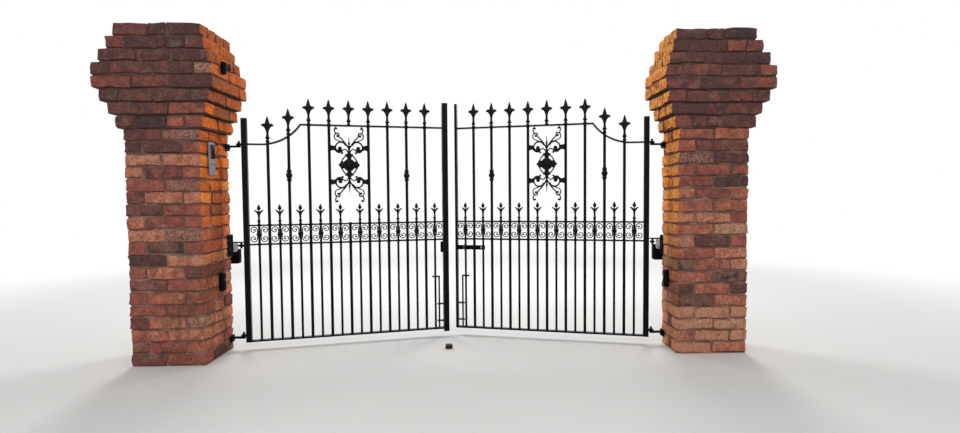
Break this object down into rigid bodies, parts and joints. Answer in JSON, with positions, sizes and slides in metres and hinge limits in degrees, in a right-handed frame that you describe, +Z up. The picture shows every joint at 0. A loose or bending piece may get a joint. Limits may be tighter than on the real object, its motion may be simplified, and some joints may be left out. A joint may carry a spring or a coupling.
{
  "type": "driveway gates",
  "caption": "Pair of black wrought iron driveway gates with spearheads, a scroll band and cast ornaments, hung ajar between corbelled red brick piers.",
  "frame": {"origin": "on the ground under the middle of the centre stop, halfway between the two piers", "axes": "+X to the right as seen from the street, +Y from the street into the drive, +Z up"},
  "size_m": [4.008, 0.7152, 1.99],
  "materials": {
    "red_brick": "rough",
    "black_iron": "gloss",
    "black_castings": "gloss paint",
    "cast_iron": "matt",
    "cast_housing": "cast, satin",
    "black_plastic": "matt",
    "grey_panel": "satin",
    "pale_knob": "gloss"
  },
  "bodies": {
    "gateway": {"left_pier_shaft": "red_brick", "left_pier_head": "red_brick", "right_pier_shaft": "red_brick", "right_pier_head": "red_brick", "hinge_brackets": "black_iron", "operator_brackets": "black_iron", "operator_gearboxes": "cast_housing", "operator_motors": "black_plastic", "photocells": "black_plastic", "intercom_panel": "grey_panel", "intercom_lens": "black_plastic", "pier_lamp": "black_plastic", "ground_stop": "cast_iron"},
    "left_leaf": {"left_heel_stile": "black_iron", "left_meeting_stile": "black_iron", "closing_strip": "black_iron", "left_top_rail": "black_iron", "left_band_rails": "black_iron", "left_bottom_rail": "black_iron", "left_tall_bars": "black_iron", "left_dog_bars": "black_iron", "left_spearheads": "black_castings", "left_band_scrolls": "black_castings", "left_ornament": "black_castings", "left_bar_collars": "black_castings", "left_hinge_eyes": "black_iron", "left_bolt_guides": "black_iron", "latch_keep": "black_iron"},
    "right_leaf": {"right_heel_stile": "black_iron", "right_meeting_stile": "black_iron", "right_top_rail": "black_iron", "right_band_rails": "black_iron", "right_bottom_rail": "black_iron", "right_tall_bars": "black_iron", "right_dog_bars": "black_iron", "right_spearheads": "black_castings", "right_band_scrolls": "black_castings", "right_ornament": "black_castings", "right_bar_collars": "black_castings", "right_hinge_eyes": "black_iron", "right_bolt_guides": "black_iron", "latch_case": "black_iron"},
    "left_drop_bolt": {"left_drop_bolt": "black_iron"},
    "right_drop_bolt": {"right_drop_bolt": "black_iron"},
    "latch_bolt": {"latch_bolt": "black_iron", "latch_knob": "pale_knob"}
  },
  "joints": [
    {"name": "left_hinge", "type": "hinge", "parent": "gateway", "child": "left_leaf", "pos_m": [-1.336, 0.0495, 0.09], "axis": [0, 0, 1], "range_deg": [-12.4, 72.6]},
    {"name": "right_hinge", "type": "hinge", "parent": "gateway", "child": "right_leaf", "pos_m": [1.336, 0.0495, 0.09], "axis": [0, 0, -1], "range_deg": [-13.7, 71.3]},
    {"name": "left_drop_slide", "type": "slide", "parent": "left_leaf", "child": "left_drop_bolt", "axis": [0, 0, -1], "range_m": [0, 0.04]},
    {"name": "right_drop_slide", "type": "slide", "parent": "right_leaf", "child": "right_drop_bolt", "axis": [0, 0, -1], "range_m": [0, 0.04]},
    {"name": "latch_slide", "type": "slide", "parent": "right_leaf", "child": "latch_bolt", "axis": [-0.9715, 0.2368, 0], "range_m": [0, 0.038]}
  ]
}
